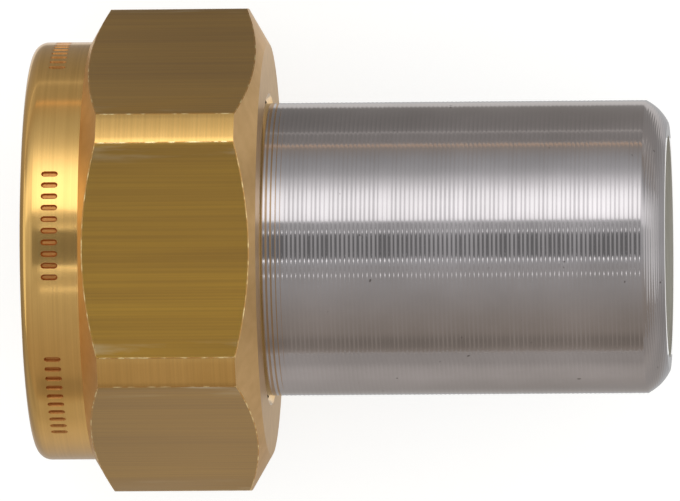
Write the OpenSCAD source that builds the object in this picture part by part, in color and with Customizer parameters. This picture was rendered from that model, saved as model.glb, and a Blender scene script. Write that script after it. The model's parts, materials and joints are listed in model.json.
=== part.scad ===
// Weld nipple connector: a loose hexagon union nut on a turned steel weld nipple, with its flat gasket.
// The long axis is X. The sealing face of the nipple is at X = 0 and its weld end points to +X.
// Two flats of the hexagon are level, facing up and down. All sizes are in millimetres.

/* [Union nut] */
// Width across the flats of the hexagon
nut_across_flats = 31.5; // [30.8:0.1:34]
// Diameter over the turned corners of the hexagon
nut_corner_d = 35.1; // [34:0.1:36]
// Overall length of the nut
nut_length = 17; // [15:0.1:24]
// Diameter of the round collar in front of the hexagon
collar_d = 30.4; // [29.2:0.1:30.7]
// Length of the collar
collar_length = 4.25; // [2:0.05:6]
// Radius that rounds the front edge of the collar
collar_rounding = 1; // [0.2:0.1:1.2]
// Angle between the hexagon's front chamfer and the end face
front_chamfer_angle = 30; // [15:1:35]
// Angle between the hexagon's rear chamfer and the end face
rear_chamfer_angle = 30; // [15:1:35]
// Diameter of the flat rear face
rear_face_d = 30; // [26:0.1:30.7]
// Thickness of the rear wall that pulls on the nipple's head
rear_wall = 3.9; // [2:0.05:6]

/* [Union thread] */
// Minor diameter of the inside pipe thread, left as a plain bore
thread_minor_d = 24.12; // [23:0.01:25]
// Major diameter of the inside pipe thread
thread_major_d = 26.44; // [25.4:0.01:27]
// Radial depth of the relief behind the thread, past the major diameter
relief_depth = 0.1; // [0:0.05:0.4]
// Distance from the gasket to the last full turn of the thread
relief_margin = 0.2; // [0:0.1:1]
// Radial height of the lead-in chamfer at the mouth, past the major diameter
mouth_chamfer = 0.28; // [0:0.02:0.4]

/* [Weld nipple] */
// Outside diameter of the nipple, that of the pipe it is welded to
pipe_d = 21.3; // [20:0.1:21.6]
// Wall thickness of the nipple
pipe_wall = 2.6; // [1.8:0.1:3.6]
// Length from the sealing face to the weld end
nipple_length = 36; // [20:0.5:80]
// Thickness of the head that the nut pulls on
head_thickness = 3; // [2:0.1:5]
// Angle between the weld bevel and the end face
bevel_angle = 45; // [20:0.5:50]
// Radius of the weld bevel's rounded face
bevel_rounding = 3.4; // [2.6:0.1:20]
// Width of the flat left at the root of the bevel
root_face = 1; // [0.4:0.05:1.6]
// Radius between the head and the tube
neck_fillet = 0.3; // [0.1:0.05:0.3]

/* [Flat gasket] */
// Thickness of the gasket
gasket_thickness = 2; // [1:0.1:3]
// Distance from the nipple's bore to the edge of the gasket's hole
gasket_set_back = 0.45; // [0:0.05:1]

/* [Fits] */
// Radial clearance between the nipple and the nut's rear bore
sleeve_clearance = 0.35; // [0.2:0.05:0.5]
// Radial clearance of the head and the gasket inside the thread
head_clearance = 0.11; // [0.05:0.01:0.3]
// Axial clearance between the head and the nut's rear wall
seat_clearance = 0.05; // [0:0.01:0.2]
// Size of the chamfer at the nut's rear bore
rear_bore_chamfer = 0.35; // [0.1:0.05:0.5]
// Size of the small chamfers that break the other edges
edge_break = 0.2; // [0.05:0.05:0.3]

/* [Hidden] */

collar_r = collar_d / 2;
corner_r = nut_corner_d / 2;
rear_face_r = rear_face_d / 2;
thread_r = thread_minor_d / 2;
relief_r = thread_major_d / 2 + relief_depth;
mouth_r = thread_major_d / 2 + mouth_chamfer;

pipe_r = pipe_d / 2;
bore_r = pipe_r - pipe_wall;
bevel_r = bore_r + root_face;
head_r = thread_r - head_clearance;
sleeve_r = pipe_r + sleeve_clearance;

shoulder_x = head_thickness + seat_clearance;
nut_rear_x = shoulder_x + rear_wall;
nut_front_x = nut_rear_x - nut_length;
thread_end_x = -gasket_thickness - relief_margin;

// Points of an arc round the point c, in steps that suit a small fillet
function arc(c, r, from, to, steps = 6) = [
    for (i = [0 : steps])
        let (a = from + (to - from) * i / steps)
        [c[0] + r * cos(a), c[1] + r * sin(a)]
];

// Points of a crowned edge from a to b, falling towards +X, with the crown's radius r
function crown(a, b, r) =
    let (
        chord = b - a,
        span = norm(chord),
        c = (a + b) / 2 + [chord[1], -chord[0]] / span * sqrt(r * r - span * span / 4)
    )
    arc(c, r, atan2(a[1] - c[1], a[0] - c[0]), atan2(b[1] - c[1], b[0] - c[0]));

// Solid of revolution about X, from a section given as [place along the axis, radius] points
module turned(section) {
    rotate([0, 90, 0])
        rotate_extrude($fn = 240)
            polygon([for (p = section) [p[1], p[0]]]);
}

// Hexagon bar along X with two level flats
module hexagon_bar(x0, x1) {
    translate([x0, 0, 0])
        rotate([0, 90, 0])
            linear_extrude(x1 - x0)
                rotate(30)
                    circle(r = nut_across_flats / 2 / cos(30), $fn = 6);
}

// Outline of half the nut's section: collar, chamfered hexagon, then back through the bores
module nut_turning() {
    front_chamfer_l = (corner_r - collar_r) * tan(front_chamfer_angle);
    rear_chamfer_l = (corner_r - rear_face_r) * tan(rear_chamfer_angle);
    hex_x = nut_front_x + collar_length;
    outside = concat(
        arc([nut_front_x + collar_rounding, collar_r - collar_rounding], collar_rounding, 180, 90),
        [
            [hex_x, collar_r],
            [hex_x + front_chamfer_l, corner_r],
            [nut_rear_x - rear_chamfer_l, corner_r],
            [nut_rear_x, rear_face_r],
        ]
    );
    inside = [
        [nut_rear_x, sleeve_r + rear_bore_chamfer],
        [nut_rear_x - rear_bore_chamfer, sleeve_r],
        [shoulder_x + edge_break, sleeve_r],
        [shoulder_x, sleeve_r + edge_break],
        [shoulder_x, relief_r],
        [thread_end_x + relief_r - thread_r, relief_r],
        [thread_end_x, thread_r],
        [nut_front_x + mouth_r - thread_r, thread_r],
        [nut_front_x, mouth_r],
    ];
    turned(concat(outside, inside));
}

// Brass nut, turned from drawn hexagon bar
module union_nut() {
    color("goldenrod")
        intersection() {
            nut_turning();
            hexagon_bar(nut_front_x - 1, nut_rear_x + 1);
        }
}

// Steel nipple: head with the sealing face, plain tube and bevelled weld end
module weld_nipple() {
    bevel_l = (pipe_r - bevel_r) * tan(bevel_angle);
    head = [
        [0, bore_r + edge_break],
        [0, head_r - edge_break],
        [edge_break, head_r],
        [head_thickness - edge_break, head_r],
        [head_thickness, head_r - edge_break],
    ];
    neck = arc([head_thickness + neck_fillet, pipe_r + neck_fillet], neck_fillet, 180, 270);
    bevel = crown([nipple_length - bevel_l, pipe_r], [nipple_length, bevel_r], bevel_rounding);
    bore = [
        [nipple_length, bore_r],
        [edge_break, bore_r],
    ];
    color("silver") turned(concat(head, neck, bevel, bore));
}

// Flat rubber gasket on the sealing face
module flat_gasket() {
    hole_r = bore_r + gasket_set_back;
    color("dimgray")
        turned([
            [-gasket_thickness, hole_r],
            [-gasket_thickness, head_r],
            [0, head_r],
            [0, hole_r],
        ]);
}

union_nut();
weld_nipple();
flat_gasket();
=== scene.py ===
import json
import math
import random

import bmesh
import bpy
from mathutils import Matrix, Vector


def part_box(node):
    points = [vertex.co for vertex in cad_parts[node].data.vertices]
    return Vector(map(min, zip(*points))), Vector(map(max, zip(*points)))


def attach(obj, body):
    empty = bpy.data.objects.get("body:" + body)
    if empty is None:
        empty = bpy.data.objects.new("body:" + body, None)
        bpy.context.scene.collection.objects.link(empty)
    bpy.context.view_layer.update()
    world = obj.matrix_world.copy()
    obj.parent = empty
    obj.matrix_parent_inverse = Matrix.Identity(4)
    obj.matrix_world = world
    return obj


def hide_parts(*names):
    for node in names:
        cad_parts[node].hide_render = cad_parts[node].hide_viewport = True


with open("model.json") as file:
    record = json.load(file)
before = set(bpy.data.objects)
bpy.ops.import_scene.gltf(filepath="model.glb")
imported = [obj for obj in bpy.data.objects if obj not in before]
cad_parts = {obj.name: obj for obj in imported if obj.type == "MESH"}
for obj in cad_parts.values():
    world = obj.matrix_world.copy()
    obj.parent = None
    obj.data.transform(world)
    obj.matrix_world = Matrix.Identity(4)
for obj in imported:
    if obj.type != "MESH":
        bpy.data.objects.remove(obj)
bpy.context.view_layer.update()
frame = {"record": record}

MM = 0.001


# Weld nipple
# A short steel tube turned from bar: a head with the sealing face, a plain tube, and a
# bevelled end for the weld. The round nose of the lathe tool leaves fine rings all along it.
mounts = {mount["name"]: mount for mount in frame["record"]["mounts"]}
nipple_low, nipple_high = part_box("weld_nipple")
weld_end = nipple_high.x
head_r = nipple_high.z
bore_r = mounts["flow_bore"]["dims"]["r_mm"] * MM
pipe_r = 10.65 * MM
head_length = 3 * MM
neck_fillet = 0.3 * MM
edge_break = 0.2 * MM
root_face = 1 * MM
bevel_angle = math.radians(45)
bevel_crown = 0.19 * MM
tube_feed = 0.32 * MM
tube_cut = 0.016 * MM
tube_lead = 16
bevel_feed = 0.19 * MM
bevel_cut = 0.009 * MM
SHARP = math.radians(13)


def tool_rings(start, end, feed, cut, crown=0, lead=1, wander=0.25, seed=3):
    """Outline points of the rings that a round-nosed tool leaves on the way from start to end.

    The way can be crowned: crown is how far its middle stands out from a straight line. The
    first rings, as many as lead says, are shallower, where the tool eases in."""
    draw = random.Random(seed)
    start, end = Vector(start), Vector(end)
    along = end - start
    inward = Vector((along.y, -along.x)).normalized()
    rings = round(along.length / feed)
    points = []
    for ring in range(rings):
        depth = cut * (1 + wander * draw.uniform(-1, 1)) * min(1, ring / lead)
        for share, fall in ((0, 0), (0.25, 0.75), (0.5, 1), (0.75, 0.75)):
            way = (ring + share) / rings
            rise = crown * 4 * way * (1 - way)
            points.append(start + along * way + inward * (depth * fall - rise))
    return points + [end]


def turned(outline, steps, closed=True):
    """Spins an outline of (place on the axis, radius) points about X, as a lathe does."""
    shape = bmesh.new()
    points = [shape.verts.new((x, 0, r)) for x, r in outline]
    pairs = list(zip(points, points[1:]))
    if closed:
        pairs.append((points[-1], points[0]))
    edges = [shape.edges.new(pair) for pair in pairs]
    bmesh.ops.spin(
        shape, geom=points + edges, axis=(1, 0, 0), cent=(0, 0, 0),
        angle=math.tau, steps=steps, use_merge=True,
    )
    bmesh.ops.recalc_face_normals(shape, faces=shape.faces)
    return shape


def corner_arc(centre, radius, start, end, steps=8):
    """Points of a small rounding, from the angle start to the angle end in degrees."""
    angles = [math.radians(start + (end - start) * i / steps) for i in range(steps + 1)]
    return [(centre[0] + radius * math.cos(a), centre[1] + radius * math.sin(a)) for a in angles]


def fitted(shape, name, body, node, slot, *materials):
    """Makes the bmesh an object that stands for a CAD node and moves with its body."""
    for face in shape.faces:
        face.smooth = True
    for edge in shape.edges:
        edge.smooth = edge.calc_face_angle(0) < SHARP
    mesh = bpy.data.meshes.new(name)
    shape.to_mesh(mesh)
    shape.free()
    for material in materials:
        mesh.materials.append(material)
    piece = bpy.data.objects.new(name, mesh)
    bpy.context.scene.collection.objects.link(piece)
    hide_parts(node)
    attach(piece, body)
    return piece


def colour(code):
    """Linear colour from an sRGB hex value."""
    parts = [int(code[i:i + 2], 16) / 255 for i in (1, 3, 5)]
    return (*[p / 12.92 if p <= 0.04045 else ((p + 0.055) / 1.055) ** 2.4 for p in parts], 1)


def add(tree, kind, inputs=None, **settings):
    """Adds a node, with its settings and with its inputs as values or as links."""
    made = tree.nodes.new(kind)
    for name, value in settings.items():
        setattr(made, name, value)
    for name, value in (inputs or {}).items():
        if isinstance(value, bpy.types.NodeSocket):
            tree.links.new(value, made.inputs[name])
        else:
            made.inputs[name].default_value = value
    return made


def new_material(name):
    """An empty material and its node tree."""
    material = bpy.data.materials.new(name)
    material.use_nodes = True
    material.node_tree.nodes.clear()
    return material, material.node_tree


def ramp(tree, value, *stops):
    """A colour ramp on value through stops of (place, linear colour)."""
    made = add(tree, "ShaderNodeValToRGB", {"Fac": value})
    for place, shade in stops[1:-1]:
        made.color_ramp.elements.new(place).color = shade
    for element, (place, shade) in ((0, stops[0]), (-1, stops[-1])):
        made.color_ramp.elements[element].position = place
        made.color_ramp.elements[element].color = shade
    return made.outputs["Color"]


def glow(level, warm=0.0):
    """A grey of the given level, made a little warm where that is more than 0."""
    return (level, level * (1 - 0.13 * warm), level * (1 - 0.25 * warm), 1)


# Free-cutting steel as turned, bare and lightly oiled: a neutral grey that mirrors the lights in
# sharp bands across the rings, a little duller where it was handled, with a few dark specks.
turned_steel, tree = new_material("turned steel")
place = add(tree, "ShaderNodeTexCoord").outputs["Object"]
round_marks = add(tree, "ShaderNodeMapping", {"Vector": place, "Scale": (9000, 60, 60)})
fine = add(tree, "ShaderNodeTexNoise", {"Vector": round_marks.outputs[0], "Scale": 1, "Detail": 3})
handled = add(tree, "ShaderNodeTexNoise", {"Vector": place, "Scale": 160, "Detail": 4})
clean = ramp(tree, handled.outputs["Fac"], (0.3, colour("#afabac")), (0.7, colour("#bcb8ba")))
dust = add(tree, "ShaderNodeTexNoise", {"Vector": place, "Scale": 1300, "Detail": 2})
specks = add(
    tree, "ShaderNodeMapRange",
    {"Value": dust.outputs["Fac"], "From Min": 0.745, "From Max": 0.78, "To Max": 0.6},
)
shade = add(
    tree, "ShaderNodeMix", {"Factor": specks.outputs[0], 6: clean, 7: colour("#57504a")},
    data_type="RGBA",
)
gloss = add(
    tree, "ShaderNodeMapRange",
    {"Value": handled.outputs["Fac"], "From Min": 0.3, "From Max": 0.75, "To Min": 0.09, "To Max": 0.13},
)
relief = add(
    tree, "ShaderNodeBump",
    {"Height": fine.outputs["Fac"], "Strength": 0.18, "Distance": 0.004 * MM},
)
steel = add(
    tree, "ShaderNodeBsdfPrincipled",
    {"Base Color": shade.outputs[2], "Metallic": 1, "Roughness": gloss.outputs[0],
     "Normal": relief.outputs[0]},
)
add(tree, "ShaderNodeOutputMaterial", {"Surface": steel.outputs[0]})

bevel_r = bore_r + root_face
bevel_start = weld_end - (pipe_r - bevel_r) * math.tan(bevel_angle)
nipple_outline = [
    (0, bore_r + edge_break),
    (0, head_r - edge_break),
    (edge_break, head_r),
    (head_length - edge_break, head_r),
    (head_length, head_r - edge_break),
    *corner_arc((head_length + neck_fillet, pipe_r + neck_fillet), neck_fillet, 180, 270),
    *tool_rings(
        (head_length + 2 * neck_fillet, pipe_r), (bevel_start, pipe_r), tube_feed, tube_cut,
        lead=tube_lead),
    *tool_rings((bevel_start, pipe_r), (weld_end, bevel_r), bevel_feed, bevel_cut, bevel_crown)[1:],
    (weld_end, bore_r),
    (edge_break, bore_r),
]
# Bored steel: the inside is drilled and left rough, so that it shines only dully.
bored_steel, tree = new_material("bored steel")
place = add(tree, "ShaderNodeTexCoord").outputs["Object"]
round_marks = add(tree, "ShaderNodeMapping", {"Vector": place, "Scale": (4000, 90, 90)})
torn = add(tree, "ShaderNodeTexNoise", {"Vector": round_marks.outputs[0], "Scale": 1, "Detail": 4})
shade = ramp(tree, torn.outputs["Fac"], (0.3, colour("#b4b1a6")), (0.7, colour("#c9c6bd")))
relief = add(
    tree, "ShaderNodeBump",
    {"Height": torn.outputs["Fac"], "Strength": 0.5, "Distance": 0.03 * MM},
)
steel = add(
    tree, "ShaderNodeBsdfPrincipled",
    {"Base Color": shade, "Metallic": 0.4, "Roughness": 0.6, "Normal": relief.outputs[0]},
)
add(tree, "ShaderNodeOutputMaterial", {"Surface": steel.outputs[0]})

nipple = turned(nipple_outline, 180)
for face in nipple.faces:
    if face.calc_center_median().yz.length < bore_r + 0.001 * MM:
        face.material_index = 1
fitted(
    nipple, "steel_weld_nipple", "nipple", "weld_nipple", "steel_nipple", turned_steel, bored_steel,
)


# Flat gasket
# A ring punched from rubber sheet, laid on the nipple's sealing face. The punch leaves its
# edges a little round and its faces keep the fine grain of the sheet.
gasket_low, gasket_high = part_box("flat_gasket")
gasket_hole_r = bore_r + 0.45 * MM
punched_edge = 0.15 * MM
gasket_outline = [
    *corner_arc(
        (gasket_low.x + punched_edge, gasket_hole_r + punched_edge), punched_edge, 270, 180),
    *corner_arc(
        (gasket_low.x + punched_edge, gasket_high.z - punched_edge), punched_edge, 180, 90),
    *corner_arc(
        (gasket_high.x - punched_edge, gasket_high.z - punched_edge), punched_edge, 90, 0),
    *corner_arc(
        (gasket_high.x - punched_edge, gasket_hole_r + punched_edge), punched_edge, 0, -90),
]

# EPDM rubber sheet: near black, dull, with a fine even grain and a trace of talc.
sheet_rubber, tree = new_material("EPDM sheet rubber")
place = add(tree, "ShaderNodeTexCoord").outputs["Object"]
grain = add(tree, "ShaderNodeTexNoise", {"Vector": place, "Scale": 4000, "Detail": 3})
talc = add(tree, "ShaderNodeTexNoise", {"Vector": place, "Scale": 500, "Detail": 5})
shade = ramp(tree, talc.outputs["Fac"], (0.4, colour("#232322")), (0.75, colour("#3a3937")))
relief = add(
    tree, "ShaderNodeBump",
    {"Height": grain.outputs["Fac"], "Strength": 0.4, "Distance": 0.02 * MM},
)
rubber = add(
    tree, "ShaderNodeBsdfPrincipled",
    {"Base Color": shade, "Roughness": 0.7, "Normal": relief.outputs[0]},
)
add(tree, "ShaderNodeOutputMaterial", {"Surface": rubber.outputs[0]})
fitted(
    turned(gasket_outline, 180),
    "rubber_flat_gasket", "gasket", "flat_gasket", "rubber_gasket", sheet_rubber,
)


# Union nut
# One piece of brass hexagon bar, turned at both ends, bored and threaded. The flats are the
# drawn skin of the bar. The collar carries rows of short engraved marks, in three like groups.
nut_low, nut_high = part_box("union_nut")
nut_front, nut_rear = nut_low.x, nut_high.x
apothem = nut_high.z
corner_r = 17.55 * MM
collar_r = 15.2 * MM
collar_length = 4.25 * MM
collar_rounding = 1 * MM
rear_face_r = 15 * MM
chamfer_angle = math.radians(30)
rear_bore_r = pipe_r + 0.35 * MM
rear_bore_chamfer = 0.35 * MM
shoulder = head_length + 0.05 * MM
thread_r = mounts["union_thread"]["dims"]["r_mm"] * MM
thread_major_r = 13.22 * MM
thread_pitch = 1.814 * MM
relief_r = thread_major_r + 0.1 * MM
mouth_r = thread_major_r + 0.28 * MM
thread_end = gasket_low.x - 0.2 * MM
relief_seam = 1 * MM
flat_edge = 0.05 * MM

# Engraved marks: the collar is divided like a dial, and each group repeats three times round it.
DIVISIONS = 456
REPEATS = 3
MARK_PITCH = 4
MARKS_IN_A_ROW = 10
ROW_STARTS = (27, -39)
mark_centre = nut_front + 2.2 * MM
mark_half_length = 0.61 * MM
mark_depth = 0.2 * MM
division = math.tau / DIVISIONS
mark_half_width = collar_r * division
straight_half = mark_half_length - mark_half_width

front_chamfer = (corner_r - collar_r) * math.tan(chamfer_angle)
rear_chamfer = (corner_r - rear_face_r) * math.tan(chamfer_angle)
collar_end = nut_front + collar_length
nut_outline = [
    (nut_front, mouth_r + 0.4 * MM),
    *corner_arc(
        (nut_front + collar_rounding, collar_r - collar_rounding), collar_rounding, 180, 90),
    (mark_centre - mark_half_length, collar_r),
    (mark_centre - straight_half, collar_r),
    (mark_centre + straight_half, collar_r),
    (mark_centre + mark_half_length, collar_r),
    (collar_end, collar_r),
    (collar_end + front_chamfer, corner_r),
    (nut_rear - rear_chamfer, corner_r),
    (nut_rear, rear_face_r),
    (nut_rear, rear_bore_r + rear_bore_chamfer),
    (nut_rear - rear_bore_chamfer, rear_bore_r),
    (shoulder + edge_break, rear_bore_r),
    (shoulder, rear_bore_r + edge_break),
    (shoulder, relief_r),
    (shoulder - relief_seam, relief_r),
]
TURNED, DRAWN, ROLLED, FACED, BROKEN = range(5)
THREAD_POINTS = 12
THREAD_STEPS = 152


def dial(point):
    """Place round the axis in divisions, from the upper side towards +Y."""
    return math.atan2(point.y, point.z) / division


def engrave_marks(shape):
    """Sinks the rows of short round-ended marks into the collar."""
    centres = {
        (start - MARK_PITCH * mark - repeat * DIVISIONS // REPEATS) % DIVISIONS
        for repeat in range(REPEATS) for start in ROW_STARTS for mark in range(MARKS_IN_A_ROW)
    }
    for vert in shape.verts:
        at_end = abs(abs(vert.co.x - mark_centre) - mark_half_length) < 0.01 * MM
        if not at_end or vert.co.yz.length < collar_r - 0.01 * MM:
            continue
        step = round(dial(vert.co)) % DIVISIONS
        for side in (-1, 1):
            if (step - side) % DIVISIONS in centres:
                turn = Matrix.Rotation(0.32 * side * division, 3, "X")
                vert.co = turn @ vert.co
                vert.co.x += 0.3 * mark_half_width * (1 if vert.co.x < mark_centre else -1)
    inside = [
        face for face in shape.faces
        if abs(face.calc_center_median().x - mark_centre) < mark_half_length
        and face.calc_center_median().yz.length > collar_r - 0.1 * MM
        and {math.floor(dial(face.calc_center_median())) % DIVISIONS,
             math.ceil(dial(face.calc_center_median())) % DIVISIONS} & centres
    ]
    walls = bmesh.ops.inset_region(
        shape, faces=inside, thickness=0.1 * MM, depth=-mark_depth, use_even_offset=True,
    )["faces"]
    # The floor and walls of the marks take the brass darkened with painted shade in the recesses.
    for face in inside + walls:
        face.material_index = ROLLED


def cut_flats(shape):
    """Cuts the six flats of the hexagon and breaks their edges."""
    flats = []
    for side in range(6):
        angle = side * math.tau / 6
        outward = Vector((0, math.sin(angle), math.cos(angle)))
        cut = bmesh.ops.bisect_plane(
            shape, geom=shape.verts[:] + shape.edges[:] + shape.faces[:], dist=0.001 * MM,
            plane_co=outward * apothem, plane_no=outward, clear_outer=True,
        )["geom_cut"]
        rim = [item for item in cut if isinstance(item, bmesh.types.BMEdge)]
        bmesh.ops.remove_doubles(
            shape, verts=list({v for edge in rim for v in edge.verts}), dist=0.06 * MM)
        rim = [
            edge for edge in shape.edges if edge.is_boundary
            and all(abs(v.co.dot(outward) - apothem) < 0.01 * MM for v in edge.verts)
        ]
        flat = bmesh.ops.contextual_create(shape, geom=rim)["faces"]
        for face in flat:
            face.material_index = DRAWN
        flats += flat
    rims = list({edge for face in flats for edge in face.edges})
    bevelled = bmesh.ops.bevel(
        shape, geom=rims, affect="EDGES", offset=flat_edge, segments=2, profile=0.5,
        material=BROKEN, clamp_overlap=True,
    )
    return bevelled


def cut_thread(shape):
    """Adds the inside pipe thread, run out into the mouth's chamfer and into the relief behind it."""
    depth = thread_major_r - thread_r
    first = nut_front - 1.5 * thread_pitch
    turns = math.ceil((shoulder - first) / thread_pitch) + 1
    shell = set(shape.faces)
    points = [
        shape.verts.new((
            first + thread_pitch * i / THREAD_POINTS, 0,
            thread_r + depth * (0.5 - 0.5 * math.cos(math.tau * i / THREAD_POINTS))))
        for i in range(turns * THREAD_POINTS + 1)
    ]
    edges = [shape.edges.new(pair) for pair in zip(points, points[1:])]
    bmesh.ops.spin(
        shape, geom=points + edges, axis=(1, 0, 0), cent=(0, 0, 0), angle=math.tau,
        steps=THREAD_STEPS, dvec=(thread_pitch / THREAD_STEPS, 0, 0),
    )
    thread = [face for face in shape.faces if face not in shell]
    bmesh.ops.remove_doubles(
        shape, verts=list({v for face in thread for v in face.verts}), dist=0.001 * MM)
    thread = [face for face in shape.faces if face not in shell]
    for vert in {v for face in thread for v in face.verts}:
        radius = vert.co.yz.length
        mouth = mouth_r + nut_front - vert.co.x
        run_out = min(relief_r, thread_r + vert.co.x - thread_end)
        grow = max(radius, mouth, run_out) / radius
        vert.co.y *= grow
        vert.co.z *= grow
    for end, side in ((nut_front, -1), (shoulder - relief_seam - 0.2 * MM, 1)):
        thread = [face for face in shape.faces if face not in shell]
        bmesh.ops.bisect_plane(
            shape, geom=thread + list({e for face in thread for e in face.edges})
            + list({v for face in thread for v in face.verts}),
            plane_co=(end, 0, 0), plane_no=(side, 0, 0), clear_outer=True,
        )
    open_edges = [edge for edge in shape.edges if edge.is_boundary]
    for at_mouth in (True, False):
        rims = [edge for edge in open_edges if (edge.verts[0].co.x < thread_end) == at_mouth]
        bmesh.ops.bridge_loops(shape, edges=rims)


# Turned brass: bright yellow metal with fine rings from the tool, smooth enough to mirror the
# lights in clear bands.
turned_brass, tree = new_material("turned brass")
place = add(tree, "ShaderNodeTexCoord").outputs["Object"]
round_marks = add(tree, "ShaderNodeMapping", {"Vector": place, "Scale": (7000, 50, 50)})
fine = add(tree, "ShaderNodeTexNoise", {"Vector": round_marks.outputs[0], "Scale": 1, "Detail": 3})
bloom = add(tree, "ShaderNodeTexNoise", {"Vector": place, "Scale": 220, "Detail": 4})
clean = ramp(tree, bloom.outputs["Fac"], (0.3, colour("#e9bc70")), (0.7, colour("#f1c478")))
ringed = ramp(tree, fine.outputs["Fac"], (0.35, colour("#f5f4f2")), (0.65, (1, 1, 1, 1)))
shade = add(
    tree, "ShaderNodeMix", {"Factor": 1, 6: clean, 7: ringed}, data_type="RGBA", blend_type="MULTIPLY")
relief = add(
    tree, "ShaderNodeBump",
    {"Height": fine.outputs["Fac"], "Strength": 0.2, "Distance": 0.005 * MM},
)
brass = add(
    tree, "ShaderNodeBsdfPrincipled",
    {"Base Color": shade.outputs[2], "Metallic": 1, "Roughness": 0.14, "Normal": relief.outputs[0]},
)
add(tree, "ShaderNodeOutputMaterial", {"Surface": brass.outputs[0]})

# Drawn brass: the skin of the bar, pulled through a die. Long fine lines run along it, it is darker
# and yellower than the turned metal, it carries painted shade and light by its place across the
# flats, and it is rubbed near the corners.
drawn_brass, tree = new_material("drawn brass")
place = add(tree, "ShaderNodeTexCoord").outputs["Object"]
die_lines = add(tree, "ShaderNodeMapping", {"Vector": place, "Scale": (45, 6500, 6500)})
lines = add(tree, "ShaderNodeTexNoise", {"Vector": die_lines.outputs[0], "Scale": 1, "Detail": 5})
broad = add(tree, "ShaderNodeMapping", {"Vector": place, "Scale": (25, 420, 420)})
bands = add(tree, "ShaderNodeTexNoise", {"Vector": broad.outputs[0], "Scale": 1, "Detail": 3})
skin = ramp(tree, bands.outputs["Fac"], (0.35, colour("#ba8c1c")), (0.65, colour("#c99922")))
lined = ramp(tree, lines.outputs["Fac"], (0.32, colour("#eeebe6")), (0.62, (1, 1, 1, 1)))
# Painted shade and light on the skin, by its place along Y: brightest just to the -Y side of the
# middle, darker towards +Y, and darkest on the flats furthest towards -Y.
sideways = add(tree, "ShaderNodeSeparateXYZ", {"Vector": place})
painted_shade_place = add(
    tree, "ShaderNodeMapRange",
    {"Value": sideways.outputs["Y"], "From Min": -corner_r, "From Max": corner_r},
)
painted_shade = ramp(
    tree, painted_shade_place.outputs[0],
    (0, glow(0.72)), (0.24, glow(0.74)), (0.26, glow(1.05)), (0.42, glow(1.05)), (0.6, glow(0.93)),
    (0.68, glow(0.85)), (0.8, glow(0.9)), (1, glow(0.88)),
)
painted_shade_skin = add(
    tree, "ShaderNodeMix", {"Factor": 1, 6: skin, 7: painted_shade}, data_type="RGBA", blend_type="MULTIPLY")
shade = add(
    tree, "ShaderNodeMix", {"Factor": 1, 6: painted_shade_skin.outputs[2], 7: lined}, data_type="RGBA",
    blend_type="MULTIPLY")
across = add(tree, "ShaderNodeVectorMath", {0: place, 1: (0, 1, 1)}, operation="MULTIPLY")
from_axis = add(tree, "ShaderNodeVectorMath", {0: across.outputs[0]}, operation="LENGTH")
near_corner = add(
    tree, "ShaderNodeMapRange",
    {"Value": from_axis.outputs["Value"], "From Min": corner_r - 0.7 * MM, "From Max": corner_r},
)
smears = add(tree, "ShaderNodeMapping", {"Vector": place, "Scale": (130, 1100, 1100)})
smear = add(tree, "ShaderNodeTexNoise", {"Vector": smears.outputs[0], "Scale": 1, "Detail": 5})
rubbed = add(
    tree, "ShaderNodeMapRange",
    {"Value": smear.outputs["Fac"], "From Min": 0.56, "From Max": 0.7, "To Max": 0.7},
)
wear = add(
    tree, "ShaderNodeMath", {0: rubbed.outputs[0], 1: near_corner.outputs[0]}, operation="MULTIPLY")
worn = add(
    tree, "ShaderNodeMix", {"Factor": wear.outputs[0], 6: shade.outputs[2], 7: colour("#d8c8a4")},
    data_type="RGBA",
)
relief = add(
    tree, "ShaderNodeBump",
    {"Height": lines.outputs["Fac"], "Strength": 0.4, "Distance": 0.012 * MM},
)
brass = add(
    tree, "ShaderNodeBsdfPrincipled",
    {"Base Color": worn.outputs[2], "Metallic": 1, "Roughness": 0.32, "Coat Weight": 1,
     "Coat Roughness": 0.35, "Coat IOR": 1.6, "Normal": relief.outputs[0]},
)
add(tree, "ShaderNodeOutputMaterial", {"Surface": brass.outputs[0]})

# Rolled brass: the floor and walls of the marks pressed in by the wheel, matt and a little redder
# than the turned metal round them, and darker as painted shade in the recesses.
rolled_brass_painted_shade, tree = new_material("rolled brass with painted shade")
place = add(tree, "ShaderNodeTexCoord").outputs["Object"]
grain = add(tree, "ShaderNodeTexNoise", {"Vector": place, "Scale": 9000, "Detail": 3})
shade = ramp(tree, grain.outputs["Fac"], (0.3, colour("#bd7f42")), (0.7, colour("#d0965a")))
relief = add(
    tree, "ShaderNodeBump",
    {"Height": grain.outputs["Fac"], "Strength": 0.4, "Distance": 0.01 * MM},
)
brass = add(
    tree, "ShaderNodeBsdfPrincipled",
    {"Base Color": shade, "Metallic": 1, "Roughness": 0.42, "Normal": relief.outputs[0]},
)
add(tree, "ShaderNodeOutputMaterial", {"Surface": brass.outputs[0]})

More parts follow.
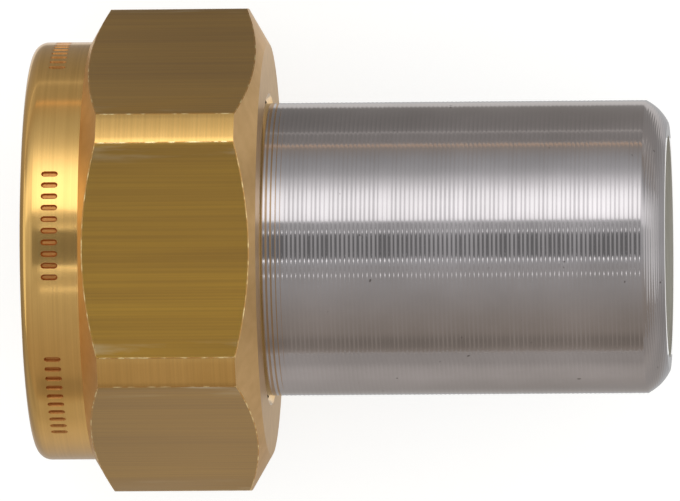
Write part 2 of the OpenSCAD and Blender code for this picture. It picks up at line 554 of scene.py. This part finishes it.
# Faced brass: the chamfers and the rear face, cut across by a coarser tool whose rings spread what
# they mirror, so that they look softer than the collar. Their colour is a little paler than the
# collar's brass, a painted reflection.
faced_brass_painted_reflection, tree = new_material("faced brass with painted reflection")
place = add(tree, "ShaderNodeTexCoord").outputs["Object"]
across = add(tree, "ShaderNodeVectorMath", {0: place, 1: (0, 1, 1)}, operation="MULTIPLY")
from_axis = add(tree, "ShaderNodeVectorMath", {0: across.outputs[0]}, operation="LENGTH")
ring_marks = add(tree, "ShaderNodeTexNoise", {"W": from_axis.outputs["Value"], "Scale": 9000, "Detail": 3},
                 noise_dimensions="1D")
bloom = add(tree, "ShaderNodeTexNoise", {"Vector": place, "Scale": 900, "Detail": 4})
clean = ramp(tree, bloom.outputs["Fac"], (0.3, colour("#e6bd80")), (0.7, colour("#f1c98d")))
relief = add(
    tree, "ShaderNodeBump",
    {"Height": ring_marks.outputs["Fac"], "Strength": 0.3, "Distance": 0.006 * MM},
)
brass = add(
    tree, "ShaderNodeBsdfPrincipled",
    {"Base Color": clean, "Metallic": 1, "Roughness": 0.36, "Normal": relief.outputs[0]},
)
add(tree, "ShaderNodeOutputMaterial", {"Surface": brass.outputs[0]})

# Broken brass edge: where the chamfers meet the flats the burr was rubbed off by hand, bright in
# some places and still dark with oil in others.
broken_brass, tree = new_material("broken brass edge")
place = add(tree, "ShaderNodeTexCoord").outputs["Object"]
rub = add(tree, "ShaderNodeTexNoise", {"Vector": place, "Scale": 1400, "Detail": 4})
shade = ramp(tree, rub.outputs["Fac"], (0.48, colour("#cfa05c")), (0.62, colour("#ffe6ac")))
relief = add(
    tree, "ShaderNodeBump",
    {"Height": rub.outputs["Fac"], "Strength": 0.5, "Distance": 0.02 * MM},
)
brass = add(
    tree, "ShaderNodeBsdfPrincipled",
    {"Base Color": shade, "Metallic": 1, "Roughness": 0.25, "Normal": relief.outputs[0]},
)
add(tree, "ShaderNodeOutputMaterial", {"Surface": brass.outputs[0]})

nut = turned(nut_outline, DIVISIONS, closed=False)
for face in nut.faces:
    middle = face.calc_center_median()
    if middle.yz.length > rear_bore_r + rear_bore_chamfer and (
            collar_end < middle.x < collar_end + front_chamfer or middle.x > nut_rear - rear_chamfer):
        face.material_index = FACED
engrave_marks(nut)
cut_flats(nut)
cut_thread(nut)
bmesh.ops.recalc_face_normals(nut, faces=nut.faces)
fitted(
    nut, "brass_union_nut", "nut", "union_nut", "brass_nut",
    turned_brass, drawn_brass, rolled_brass_painted_shade, faced_brass_painted_reflection, broken_brass,
)


# Studio
# A pale floor under the fitting, and a long tent of soft light over it. The camera looks
# straight down through a slot in the tent, which the polished metal mirrors as a dark band.
floor_level = nut_low.z
floor_half = 3.0
floor_mesh = bpy.data.meshes.new("floor")
shape = bmesh.new()
bmesh.ops.create_grid(shape, x_segments=1, y_segments=1, size=floor_half)
bmesh.ops.translate(shape, verts=shape.verts, vec=(0, 0, floor_level))
shape.to_mesh(floor_mesh)
shape.free()
floor = bpy.data.objects.new("floor", floor_mesh)
bpy.context.scene.collection.objects.link(floor)

# White card: matt paint, lifted to the white of the photograph's ground where it is looked at.
white_card, tree = new_material("white card")
rays = add(tree, "ShaderNodeLightPath")
looked_at = add(
    tree, "ShaderNodeMath",
    {0: rays.outputs["Is Camera Ray"], 1: rays.outputs["Is Glossy Ray"]}, operation="ADD",
)
seen = add(
    tree, "ShaderNodeMath",
    {0: looked_at.outputs[0], 1: rays.outputs["Is Transmission Ray"]}, operation="ADD",
    use_clamp=True,
)
lift = add(tree, "ShaderNodeMath", {0: seen.outputs[0], 1: 0.7}, operation="MULTIPLY")
card = add(
    tree, "ShaderNodeBsdfPrincipled",
    {"Base Color": colour("#ababa9"), "Roughness": 0.9, "Emission Color": (1, 1, 1, 1),
     "Emission Strength": lift.outputs[0]},
)
add(tree, "ShaderNodeOutputMaterial", {"Surface": card.outputs[0]})
floor_mesh.materials.append(white_card)


def only_mirrored(mesh, name):
    """Stages a mesh that only the shine of the metal sees."""
    thing = bpy.data.objects.new(name, mesh)
    bpy.context.scene.collection.objects.link(thing)
    thing.visible_camera = False
    thing.visible_diffuse = False
    thing.visible_shadow = False
    thing.visible_transmission = False


def at(angle):
    """Place on a ramp of an angle from straight up, in degrees."""
    return (angle + 90) / 180


# Tent cloth: it glows by where it hangs round the fitting's axis, brightest on one side of the
# slot, with a dark slot over the middle.
tent_r = 0.6
tent_half_length = 1.2
shape = bmesh.new()
ends = [shape.verts.new((x, -tent_r, 0)) for x in (-tent_half_length, tent_half_length)]
edge = shape.edges.new(ends)
bmesh.ops.spin(
    shape, geom=ends + [edge], axis=(1, 0, 0), cent=(0, 0, 0), angle=-math.pi, steps=64)
tent_mesh = bpy.data.meshes.new("light_tent")
shape.to_mesh(tent_mesh)
shape.free()
only_mirrored(tent_mesh, "light_tent")

tent_cloth, tree = new_material("tent cloth")
place = add(tree, "ShaderNodeTexCoord").outputs["Object"]
axes = add(tree, "ShaderNodeSeparateXYZ", {"Vector": place})
round_axis = add(
    tree, "ShaderNodeMath", {0: axes.outputs["Y"], 1: axes.outputs["Z"]}, operation="ARCTAN2")
share = add(
    tree, "ShaderNodeMapRange",
    {"Value": round_axis.outputs[0], "From Min": -math.pi / 2, "From Max": math.pi / 2},
)
middle = ramp(
    tree, share.outputs[0],
    (at(-90), glow(0.47, 1)), (at(-84), glow(0.33, 1)), (at(-77), glow(0.31, 1)),
    (at(-70), glow(0.4, 1)), (at(-55), glow(0.44, 0.8)), (at(-38), glow(0.48, 0.4)),
    (at(-28), glow(0.52, 0.2)), (at(-13.5), glow(0.5, 0.2)), (at(-12), glow(0.56)),
    (at(-8.4), glow(0.56)), (at(-7.8), glow(0.24)), (at(11.4), glow(0.24)), (at(12), glow(0.5)),
    (at(21.3), glow(0.54)), (at(21.8), glow(1.85)), (at(28), glow(1.98)), (at(36), glow(1.95)),
    (at(44), glow(1.75)), (at(50), glow(1.3)), (at(55), glow(1)), (at(60), glow(0.72)),
    (at(66), glow(0.58)), (at(74), glow(0.49)), (at(82), glow(0.44, 0.5)), (at(87), glow(0.44, 1)),
    (at(87.8), (0.8, 0.58, 0.42, 1)), (at(90), (0.8, 0.58, 0.42, 1)),
)
# The slot and the bright panel are short: further along the tent they fade to an even grey.
outer = ramp(
    tree, share.outputs[0],
    (at(-90), glow(0.42, 1)), (at(-60), glow(0.45, 0.8)), (at(-25), glow(0.52, 0.3)),
    (at(-10), glow(0.6)), (at(0), glow(0.58)), (at(20), glow(0.7)), (at(24), glow(1.15)),
    (at(36), glow(1.3)), (at(50), glow(1)), (at(65), glow(0.54)), (at(80), glow(0.42, 0.5)),
    (at(90), glow(0.42, 1)),
)
# Three short strip lamps hang beside the slot.
strips = ramp(
    tree, share.outputs[0],
    *[stop for angle, level in ((-20.6, 2), (-9.1, 3.4), (12.9, 2)) for stop in (
        (at(angle - 0.9), glow(0)), (at(angle - 0.4), glow(level)),
        (at(angle + 0.4), glow(level)), (at(angle + 0.9), glow(0)))],
)


def reach(centre, start, end):
    """Rises from 0 to 1 between two distances along the tent from a centre."""
    off = add(tree, "ShaderNodeMath", {0: axes.outputs["X"], 1: centre}, operation="SUBTRACT")
    along = add(tree, "ShaderNodeMath", {0: off.outputs[0]}, operation="ABSOLUTE")
    return add(
        tree, "ShaderNodeMapRange",
        {"Value": along.outputs[0], "From Min": start, "From Max": end},
        interpolation_type="SMOOTHSTEP",
    ).outputs[0]


cloth = add(
    tree, "ShaderNodeMix", {"Factor": reach(-0.02, 0.08, 0.17), 6: middle, 7: outer},
    data_type="RGBA",
)
lamps = add(
    tree, "ShaderNodeMix", {"Factor": reach(-0.015, 0.035, 0.055), 6: strips, 7: (0, 0, 0, 1)},
    data_type="RGBA",
)
lit = add(
    tree, "ShaderNodeMix", {"Factor": 1, 6: cloth.outputs[2], 7: lamps.outputs[2]},
    data_type="RGBA", blend_type="ADD",
)
light = add(tree, "ShaderNodeEmission", {"Color": lit.outputs[2], "Strength": 1})
add(tree, "ShaderNodeOutputMaterial", {"Surface": light.outputs[0]})
tent_mesh.materials.append(tent_cloth)

# Grey flags lie round the fitting just above the floor, and leave the white card bare close to it.
window = ((-24 * MM, -8 * MM), (52 * MM, 8 * MM))
flag_reach = 1.5
shape = bmesh.new()
bmesh.ops.create_grid(shape, x_segments=3, y_segments=3, size=flag_reach)
bmesh.ops.delete(
    shape, geom=[min(shape.faces, key=lambda face: face.calc_center_median().length)],
    context="FACES",
)
for vert in shape.verts:
    if max(abs(vert.co.x), abs(vert.co.y)) < 0.9 * flag_reach:
        vert.co.x = window[vert.co.x > 0][0]
        vert.co.y = window[vert.co.y > 0][1]
bmesh.ops.translate(shape, verts=shape.verts, vec=(0, 0, floor_level + 0.3 * MM))
flag_mesh = bpy.data.meshes.new("floor_flags")
shape.to_mesh(flag_mesh)
shape.free()
only_mirrored(flag_mesh, "floor_flags")

flag_cloth, tree = new_material("flag cloth")
place = add(tree, "ShaderNodeTexCoord").outputs["Object"]
axes = add(tree, "ShaderNodeSeparateXYZ", {"Vector": place})
side = add(
    tree, "ShaderNodeMath", {0: axes.outputs["Y"], 1: axes.outputs["X"]}, operation="ARCTAN2")
share = add(
    tree, "ShaderNodeMapRange",
    {"Value": side.outputs[0], "From Min": -math.pi, "From Max": math.pi},
)
grey = ramp(
    tree, share.outputs[0],
    (0, glow(0.36, 0.3)), (0.12, glow(0.36, 0.3)), (0.25, glow(0.53, 0.5)), (0.38, glow(0.46, 0.6)),
    (0.465, glow(0.46, 0.3)), (0.49, glow(0.68)), (0.53, glow(0.64)), (0.56, glow(0.44, 0.3)),
    (0.62, glow(0.37, 0.5)), (0.75, glow(0.26, 0.4)), (0.88, glow(0.42, 0.5)), (1, glow(0.36, 0.3)),
)
aside = add(
    tree, "ShaderNodeMapRange", {"Value": axes.outputs["Y"], "From Min": -0.1, "From Max": 0.1})
spread = ramp(
    tree, aside.outputs[0],
    (0, glow(1)), (0.2, glow(1.2)), (0.3, glow(1.2)), (0.36, glow(1.05)), (0.42, glow(0.85)),
    (0.64, glow(0.92)), (0.8, glow(1.1)), (0.93, glow(1.3)), (0.95, glow(2.2)), (0.98, glow(2.2)),
    (1, glow(1.35)),
)
further = add(
    tree, "ShaderNodeMix", {"Factor": 1, 6: grey, 7: spread}, data_type="RGBA",
    blend_type="MULTIPLY",
)
# Close to the fitting the flags glow a dimmer grey, a painted shadow of the floor as the metal
# mirrors it, darkest towards -Y and palest towards +Y.
offset = add(tree, "ShaderNodeMath", {0: axes.outputs["Y"]}, operation="ABSOLUTE")
close = add(
    tree, "ShaderNodeMapRange",
    {"Value": axes.outputs["Y"], "From Min": -20 * MM, "From Max": 20 * MM},
)
painted_floor_shadow = ramp(
    tree, close.outputs[0],
    (0, glow(0.45, 0.5)), (0.08, glow(0.46, 0.5)), (0.16, glow(0.5)), (0.3, glow(0.5)),
    (0.7, glow(0.5)), (0.85, glow(0.55)), (0.91, glow(0.74, 0.3)), (1, glow(0.78, 0.3)),
)
edge_of_painted_shadow = add(
    tree, "ShaderNodeMapRange",
    {"Value": offset.outputs[0], "From Min": 20 * MM, "From Max": 22 * MM},
)
beside = add(
    tree, "ShaderNodeMath", {0: axes.outputs["X"], 1: 14 * MM}, operation="SUBTRACT")
beyond = add(tree, "ShaderNodeMath", {0: beside.outputs[0]}, operation="ABSOLUTE")
past_end = add(
    tree, "ShaderNodeMapRange",
    {"Value": beyond.outputs[0], "From Min": 36 * MM, "From Max": 40 * MM},
)
off_painted_shadow = add(
    tree, "ShaderNodeMath", {0: edge_of_painted_shadow.outputs[0], 1: past_end.outputs[0]}, operation="MAXIMUM")
cloth = add(
    tree, "ShaderNodeMix", {"Factor": off_painted_shadow.outputs[0], 6: painted_floor_shadow, 7: further.outputs[2]},
    data_type="RGBA",
)
light = add(tree, "ShaderNodeEmission", {"Color": cloth.outputs[2], "Strength": 1})
add(tree, "ShaderNodeOutputMaterial", {"Surface": light.outputs[0]})
flag_mesh.materials.append(flag_cloth)

# The room: an even pale light all round.
world = bpy.data.worlds.new("pale room")
bpy.context.scene.world = world
world.use_nodes = True
world.node_tree.nodes.clear()
sky = add(world.node_tree, "ShaderNodeBackground", {"Color": colour("#fbfbf9"), "Strength": 1})
add(world.node_tree, "ShaderNodeOutputWorld", {"Surface": sky.outputs[0]})

# A long lens from straight above, turned a few degrees towards the weld end.
aim = Vector((12.04, -0.12, 0)) * MM
camera_distance = 848.5 * MM
camera_swing = math.radians(3.763)
camera_tilt = math.radians(0.029)
camera_roll = math.radians(0.432)
camera = bpy.data.objects.new("camera", bpy.data.cameras.new("camera"))
camera.data.lens = 617.4
camera.data.sensor_width = 36
camera.data.clip_start = 0.05
camera.data.clip_end = 10
turn = (
    Matrix.Rotation(camera_swing, 4, "Y")
    @ Matrix.Rotation(-camera_tilt, 4, "X")
    @ Matrix.Rotation(-camera_roll, 4, "Z")
)
camera.matrix_world = Matrix.Translation(aim + turn @ Vector((0, 0, camera_distance))) @ turn
bpy.context.scene.collection.objects.link(camera)
bpy.context.scene.camera = camera
bpy.context.scene.view_settings.view_transform = "Standard"
